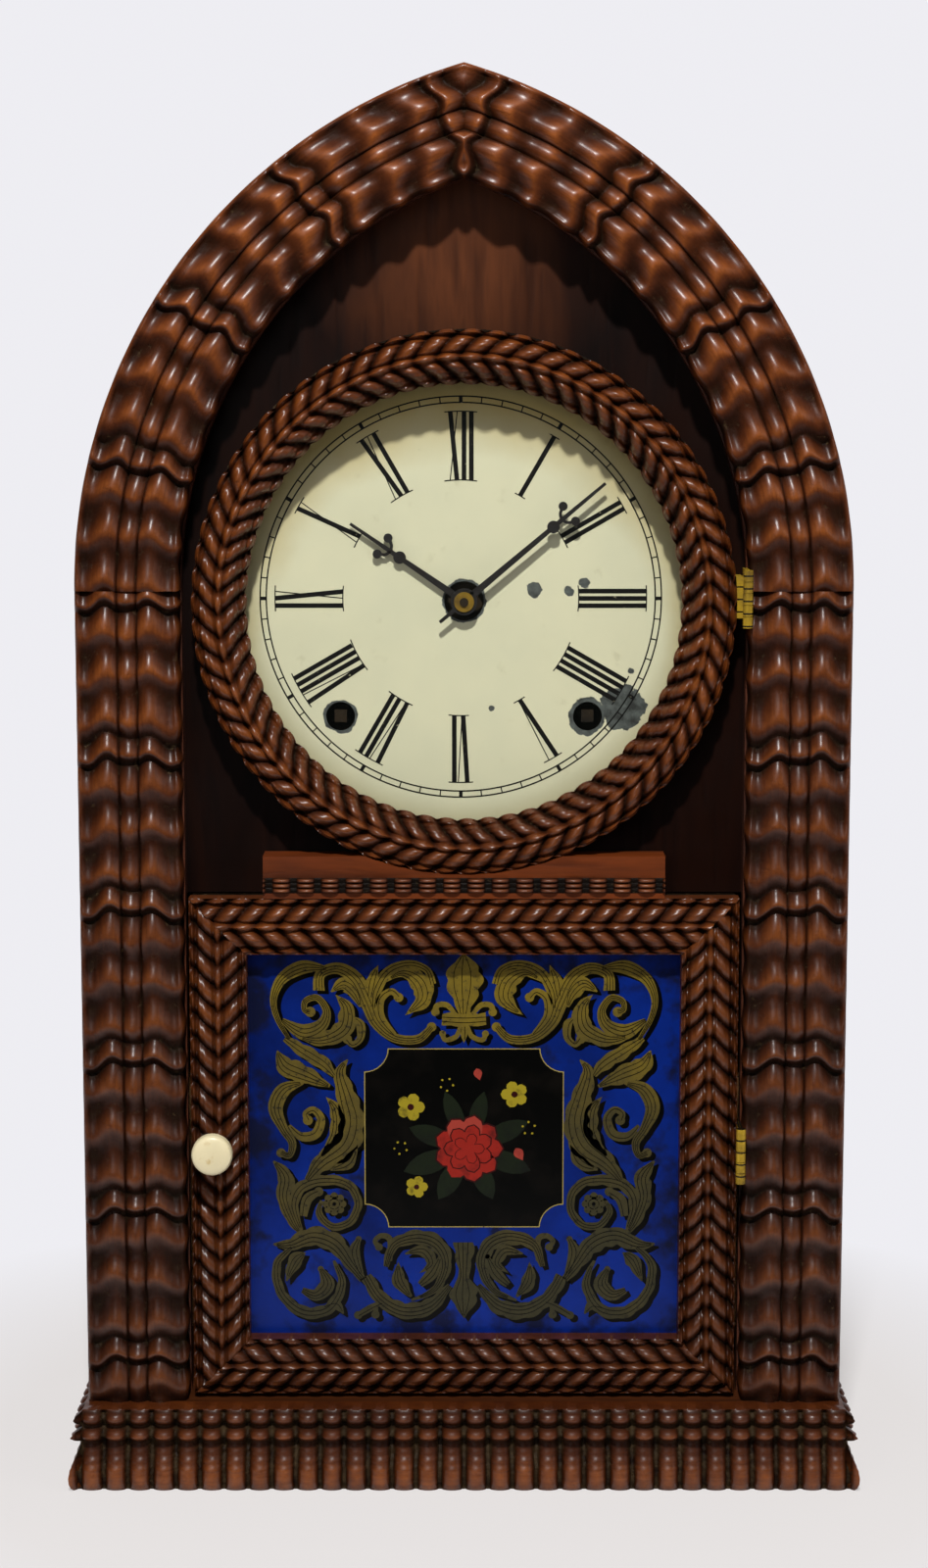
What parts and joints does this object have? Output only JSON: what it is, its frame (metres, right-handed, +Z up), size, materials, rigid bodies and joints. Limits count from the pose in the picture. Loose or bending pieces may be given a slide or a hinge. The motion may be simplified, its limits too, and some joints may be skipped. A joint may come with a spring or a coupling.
{
  "type": "shelf clock",
  "caption": "Pointed-arch shelf clock: rippled wood mouldings, hinged door with round bezel and painted lower glass, painted dial, hands, geared spring movement, pendulum and gong.",
  "frame": {"origin": "middle of the base's underside", "axes": "+Z up, -Y out of the dial towards the viewer, +X to the viewer's right"},
  "size_m": [0.273, 0.102, 0.483],
  "materials": {
    "ripple_wood": "old shellac, satin gloss",
    "veneered_wood": "old shellac",
    "panel_wood": "figured veneer under old shellac",
    "softwood": "bare aged pine",
    "painted_zinc": "aged cream paint",
    "clear_glass": "clear",
    "painted_glass": "reverse painted and gilt",
    "brass": "aged",
    "dark_steel": "blackened",
    "cast_iron": "black",
    "bone": "turned and polished"
  },
  "bodies": {
    "case": {"base_board": "softwood", "base_front_moulding": "ripple_wood", "base_left_moulding": "ripple_wood", "base_right_moulding": "ripple_wood", "left_case_side": "veneered_wood", "right_case_side": "veneered_wood", "backboard": "softwood", "front_frame": "veneered_wood", "left_pillar_moulding": "ripple_wood", "right_pillar_moulding": "ripple_wood", "left_arch_moulding": "ripple_wood", "right_arch_moulding": "ripple_wood", "spandrel_panel": "panel_wood", "dial": "painted_zinc", "dial_tacks": "dark_steel", "hinge_case_leaves": "brass", "hinge_pins": "brass", "movement_blocks": "softwood", "movement_screws": "dark_steel", "front_plate": "brass", "back_plate": "brass", "plate_pillars": "dark_steel", "suspension_cock": "brass", "mainsprings": "dark_steel", "gong_block": "cast_iron", "gong_coil": "dark_steel"},
    "door": {"bezel_ring": "ripple_wood", "bezel_glass": "clear_glass", "bridge_block": "veneered_wood", "bridge_reeds": "ripple_wood", "door_left_stile": "ripple_wood", "door_right_stile": "ripple_wood", "door_top_rail": "ripple_wood", "door_bottom_rail": "ripple_wood", "tablet_glass": "painted_glass", "tablet_strips": "softwood", "hinge_door_leaves": "brass"},
    "latch": {"door_knob": "bone", "latch_tongue": "brass"},
    "centre": {"centre_wheel": "brass", "hand_washer": "brass", "minute_hand": "dark_steel"},
    "hour": {"hour_wheel": "brass", "hour_hand": "dark_steel"},
    "minute_wheel": {"minute_wheel": "brass"},
    "time_great": {"time_great_wheel": "brass"},
    "time_second": {"time_second_wheel": "brass"},
    "time_third": {"time_third_wheel": "brass"},
    "escape": {"escape_wheel": "brass"},
    "verge": {"verge": "dark_steel"},
    "pendulum": {"suspension_spring": "brass", "pendulum_rod": "dark_steel", "pendulum_bob": "brass", "rating_nut": "brass"},
    "strike_great": {"strike_great_wheel": "brass"},
    "strike_second": {"strike_second_wheel": "brass"},
    "strike_pin": {"strike_pin_wheel": "brass"},
    "strike_fly": {"strike_fly": "brass"},
    "hammer": {"hammer": "dark_steel"}
  },
  "joints": [
    {"name": "door_swing", "type": "hinge", "parent": "case", "child": "door", "pos_m": [0.09488, -0.0411, 0.212], "axis": [0, 0, 1], "range_deg": [0, 100]},
    {"name": "knob_turn", "type": "hinge", "parent": "door", "child": "latch", "pos_m": [-0.0862, -0.03, 0.1175], "axis": [0, -1, 0], "range_deg": [0, 90]},
    {"name": "minute_turn", "type": "hinge", "parent": "case", "child": "centre", "pos_m": [0, -0.018, 0.305], "axis": [0, 1, 0], "continuous": true},
    {"name": "hour_turn", "type": "hinge", "parent": "case", "child": "hour", "pos_m": [0, -0.015, 0.305], "axis": [0, 1, 0], "continuous": true},
    {"name": "minute_wheel_turn", "type": "hinge", "parent": "case", "child": "minute_wheel", "pos_m": [0.0144, -0.009, 0.305], "axis": [0, 1, 0], "continuous": true},
    {"name": "time_great_turn", "type": "hinge", "parent": "case", "child": "time_great", "pos_m": [0.0425, 0.017, 0.2653], "axis": [0, 1, 0], "continuous": true},
    {"name": "time_second_turn", "type": "hinge", "parent": "case", "child": "time_second", "pos_m": [0.0223, 0.017, 0.29327], "axis": [0, 1, 0], "continuous": true},
    {"name": "time_third_turn", "type": "hinge", "parent": "case", "child": "time_third", "pos_m": [0.01358, 0.017, 0.32418], "axis": [0, 1, 0], "continuous": true},
    {"name": "escape_turn", "type": "hinge", "parent": "case", "child": "escape", "pos_m": [0, 0.017, 0.336], "axis": [0, 1, 0], "continuous": true},
    {"name": "pendulum_swing", "type": "hinge", "parent": "case", "child": "pendulum", "pos_m": [0, -0.004, 0.355], "axis": [0, 1, 0], "range_deg": [-3.5, 3.5]},
    {"name": "verge_rock", "type": "hinge", "parent": "case", "child": "verge", "pos_m": [0, 0.017, 0.355], "axis": [0, 1, 0], "range_deg": [-3.5, 3.5]},
    {"name": "strike_pin_turn", "type": "hinge", "parent": "case", "child": "strike_pin", "pos_m": [-0.04339, 0.017, 0.32214], "axis": [0, 1, 0], "continuous": true},
    {"name": "strike_second_turn", "type": "hinge", "parent": "case", "child": "strike_second", "pos_m": [-0.05201, 0.017, 0.29846], "axis": [0, 1, 0], "continuous": true},
    {"name": "strike_great_turn", "type": "hinge", "parent": "case", "child": "strike_great", "pos_m": [-0.0425, 0.017, 0.2653], "axis": [0, 1, 0], "continuous": true},
    {"name": "strike_fly_turn", "type": "hinge", "parent": "case", "child": "strike_fly", "pos_m": [-0.04035, 0.017, 0.33938], "axis": [0, 1, 0], "continuous": true},
    {"name": "hammer_swing", "type": "hinge", "parent": "case", "child": "hammer", "pos_m": [-0.022, 0.0386, 0.291], "axis": [0, 1, 0], "range_deg": [-1.5, 10]}
  ],
  "couplings": [
    {"joint": "hour_turn", "follows": "minute_turn", "ratio": 0.083333},
    {"joint": "minute_wheel_turn", "follows": "minute_turn", "ratio": -0.33333},
    {"joint": "time_second_turn", "follows": "minute_turn", "ratio": -0.16667},
    {"joint": "time_great_turn", "follows": "minute_turn", "ratio": 0.025},
    {"joint": "time_third_turn", "follows": "minute_turn", "ratio": -8.4},
    {"joint": "escape_turn", "follows": "minute_turn", "ratio": 67.2},
    {"joint": "verge_rock", "follows": "pendulum_swing", "ratio": 1},
    {"joint": "strike_second_turn", "follows": "strike_pin_turn", "ratio": -0.16667},
    {"joint": "strike_great_turn", "follows": "strike_pin_turn", "ratio": 0.025},
    {"joint": "strike_fly_turn", "follows": "strike_pin_turn", "ratio": -6}
  ]
}
